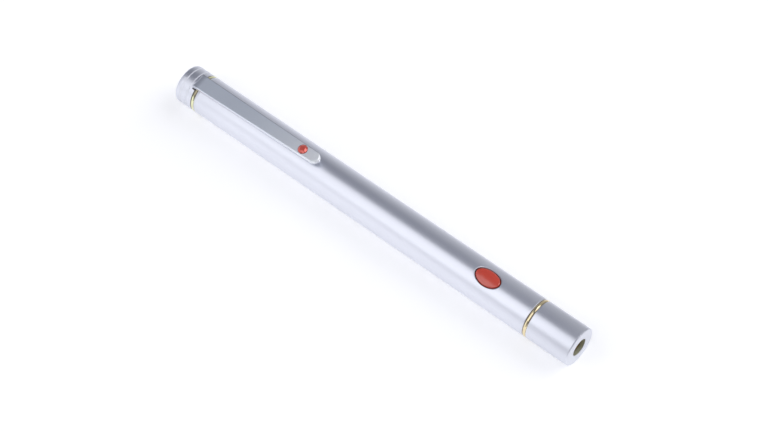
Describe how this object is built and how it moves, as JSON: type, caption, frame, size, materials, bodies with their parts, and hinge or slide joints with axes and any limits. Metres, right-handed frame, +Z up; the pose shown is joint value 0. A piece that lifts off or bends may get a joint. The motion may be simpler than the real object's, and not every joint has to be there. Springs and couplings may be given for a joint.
{
  "type": "laser pointer",
  "caption": "Pen-shaped laser pointer: turned metal barrel with gold trim rings, an oval push button, a pocket clip with a red stone and a screw-off tail cap.",
  "frame": {"origin": "centre of the pen's box, at the lowest flat of the barrel", "axes": "+X along the pen towards the aperture that the beam leaves by, +Z up through the button and the clip, +Y to the left when looking along +X"},
  "size_m": [0.1506, 0.0124, 0.0158],
  "materials": {
    "satin_silver": "satin",
    "clip_silver": "satin",
    "gold_trim": "polished",
    "brass": "satin",
    "spring_steel": "polished",
    "nickel": "polished",
    "black_plastic": "matte",
    "white_plastic": "matte",
    "blue_plastic": "satin",
    "board": "satin",
    "red_button": "gloss",
    "red_stone": "gloss",
    "clear_lens": "polished",
    "cell_jacket": "gloss"
  },
  "bodies": {
    "barrel": {"barrel": "satin_silver", "nose_cap": "satin_silver", "front_trim_ring": "gold_trim", "module_housing": "brass", "lens_retainer": "brass", "lens": "clear_lens", "focus_spring": "spring_steel", "diode_header": "gold_trim", "diode_can": "nickel", "diode_window": "clear_lens", "circuit_board": "board", "board_carrier": "white_plastic", "resistor_left": "black_plastic", "resistor_right": "black_plastic", "driver_chip": "black_plastic", "trim_pot": "blue_plastic", "pot_screw": "brass", "capacitor": "nickel", "switch_body": "black_plastic", "switch_cover": "nickel", "contact_plate": "nickel", "contact_spring": "spring_steel", "front_cell": "cell_jacket", "front_cell_terminal": "nickel", "rear_cell": "cell_jacket", "rear_cell_terminal": "nickel"},
    "button": {"button_cap": "red_button", "switch_plunger": "black_plastic"},
    "tail_spring": {"tail_spring": "spring_steel"},
    "tail_cap": {"tail_cap": "satin_silver", "tail_bush": "brass", "rear_trim_ring": "gold_trim", "tail_contact": "brass"},
    "clip": {"clip": "clip_silver", "clip_stone": "red_stone"}
  },
  "joints": [
    {"name": "button_press", "type": "slide", "parent": "barrel", "child": "button", "axis": [0, 0, -1], "range_m": [0, 0.0005], "stiffness_N_per_m": 1500},
    {"name": "tail_travel", "type": "slide", "parent": "barrel", "child": "tail_spring", "axis": [-1, 0, 0], "range_m": [0, 0.005]},
    {"name": "tail_unscrew", "type": "hinge", "parent": "tail_spring", "child": "tail_cap", "pos_m": [-0.06922, 0, 0.00624], "axis": [-1, 0, 0], "range_deg": [0, 1800]},
    {"name": "clip_flex", "type": "hinge", "parent": "tail_cap", "child": "clip", "pos_m": [-0.06922, 0, 0.01249], "axis": [0, -1, 0], "range_deg": [0, 2.75], "stiffness_Nm_per_rad": 2}
  ],
  "couplings": [
    {"joint": "tail_travel", "follows": "tail_unscrew", "m_per_rad": 0.000159}
  ]
}
